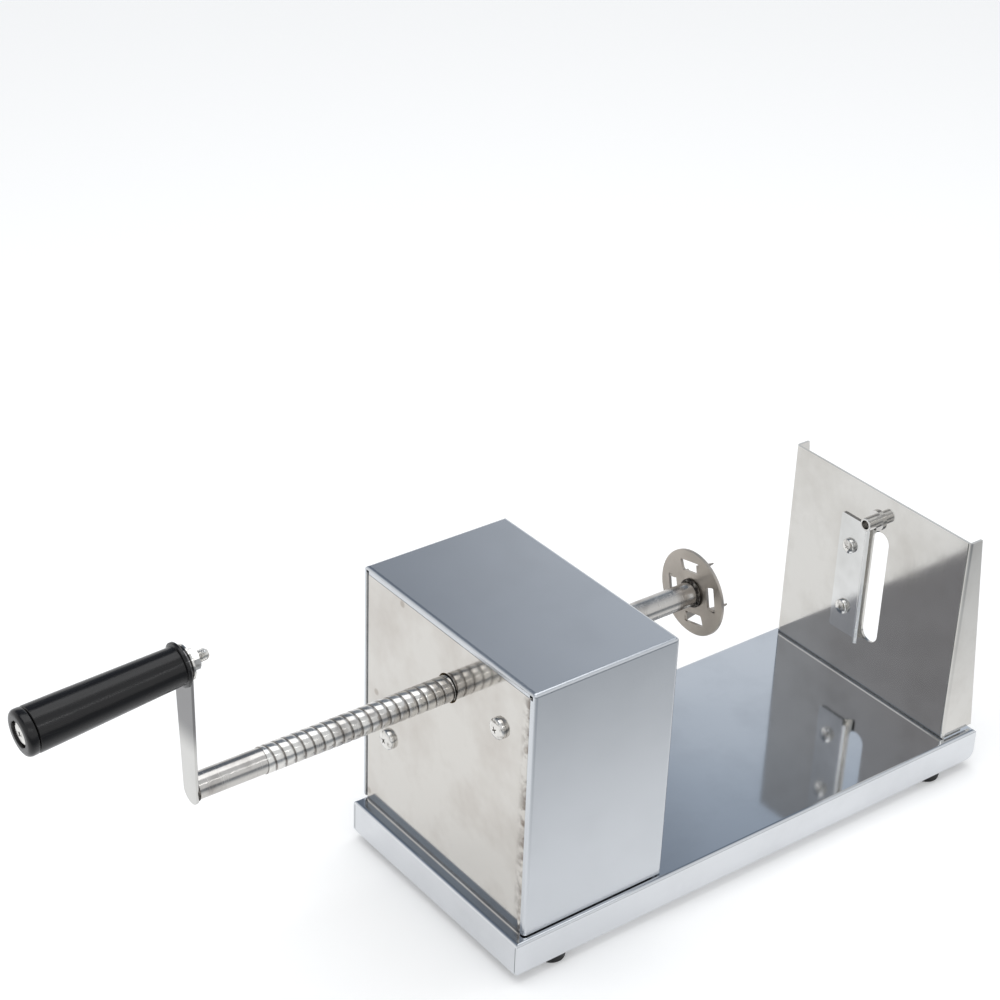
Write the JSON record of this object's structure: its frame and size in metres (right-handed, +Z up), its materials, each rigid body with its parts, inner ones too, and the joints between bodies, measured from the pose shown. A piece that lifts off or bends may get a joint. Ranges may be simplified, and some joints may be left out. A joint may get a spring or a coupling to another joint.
{
  "type": "tornado potato cutter",
  "caption": "Hand-cranked spiral potato cutter: folded steel base and housing, screw-fed shaft with fork disc, crank with grip, upright slotted blade plate.",
  "frame": {"origin": "on the bench plane that the feet stand on, under the middle of the base tray", "axes": "+X along the feed shaft from the crank to the blade plate, +Y away from the user, +Z up"},
  "size_m": [0.5739, 0.1525, 0.2302],
  "materials": {
    "fastener_steel": "bright pan-head screws, nuts and washers in plated steel",
    "base_tray": "bright polished stainless sheet, nearly a mirror on top",
    "rubber_feet": "matt black rubber",
    "front_panel": "polished stainless sheet with handling smudges",
    "rear_panel": "polished stainless sheet",
    "housing_cover": "satin stainless sheet",
    "feed_plate": "mill-finish stainless plate",
    "feed_nut": "turned brass",
    "guide_bush": "natural white nylon",
    "feed_shaft": "ground bright steel with a rolled helical groove",
    "crank_arm": "satin flat bar",
    "shaft_welds": "dark weld bead",
    "grip": "glossy black plastic",
    "grip_end_cap": "glossy black plastic",
    "fork_disc": "satin stainless disc with bright rim",
    "blade_plate": "polished stainless sheet",
    "blade": "bright blade steel",
    "skewer_tube": "bright stainless tube"
  },
  "bodies": {
    "frame": {"base_tray": "base_tray", "blade": "blade", "blade_nuts": "fastener_steel", "blade_plate": "blade_plate", "blade_screws": "fastener_steel", "cover_nuts": "fastener_steel", "cover_screws": "fastener_steel", "feed_nut": "feed_nut", "feed_nut_screws": "fastener_steel", "feed_pins": "fastener_steel", "feed_plate": "feed_plate", "foot_nuts": "fastener_steel", "foot_screws": "fastener_steel", "front_panel": "front_panel", "housing_cover": "housing_cover", "housing_nuts": "fastener_steel", "housing_screws": "fastener_steel", "panel_nuts": "fastener_steel", "panel_screws": "fastener_steel", "plate_nuts": "fastener_steel", "plate_screws": "fastener_steel", "rear_panel": "rear_panel", "rubber_feet": "rubber_feet", "skewer_tube": "skewer_tube"},
    "bush": {"guide_bush": "guide_bush", "bush_clip": "fastener_steel"},
    "shaft": {"feed_shaft": "feed_shaft", "crank_arm": "crank_arm", "fork_disc": "fork_disc", "shaft_welds": "shaft_welds", "grip_bolt": "fastener_steel", "grip_nut": "fastener_steel", "grip_washer": "fastener_steel"},
    "grip": {"grip": "grip", "grip_end_cap": "grip_end_cap"}
  },
  "joints": [
    {"name": "crank_turn", "type": "hinge", "parent": "frame", "child": "bush", "pos_m": [-0.07, 0, 0.14], "axis": [1, 0, 0], "range_deg": [-2520, 6480]},
    {"name": "shaft_feed", "type": "slide", "parent": "bush", "child": "shaft", "axis": [1, 0, 0], "range_m": [-0.0393, 0.1009]},
    {"name": "grip_spin", "type": "hinge", "parent": "shaft", "child": "grip", "pos_m": [-0.36291, -0.00927, 0.21547], "axis": [0.9962, -0.0106, 0.0865], "continuous": true}
  ],
  "couplings": [
    {"joint": "shaft_feed", "follows": "crank_turn", "m_per_rad": 0.00089127}
  ]
}
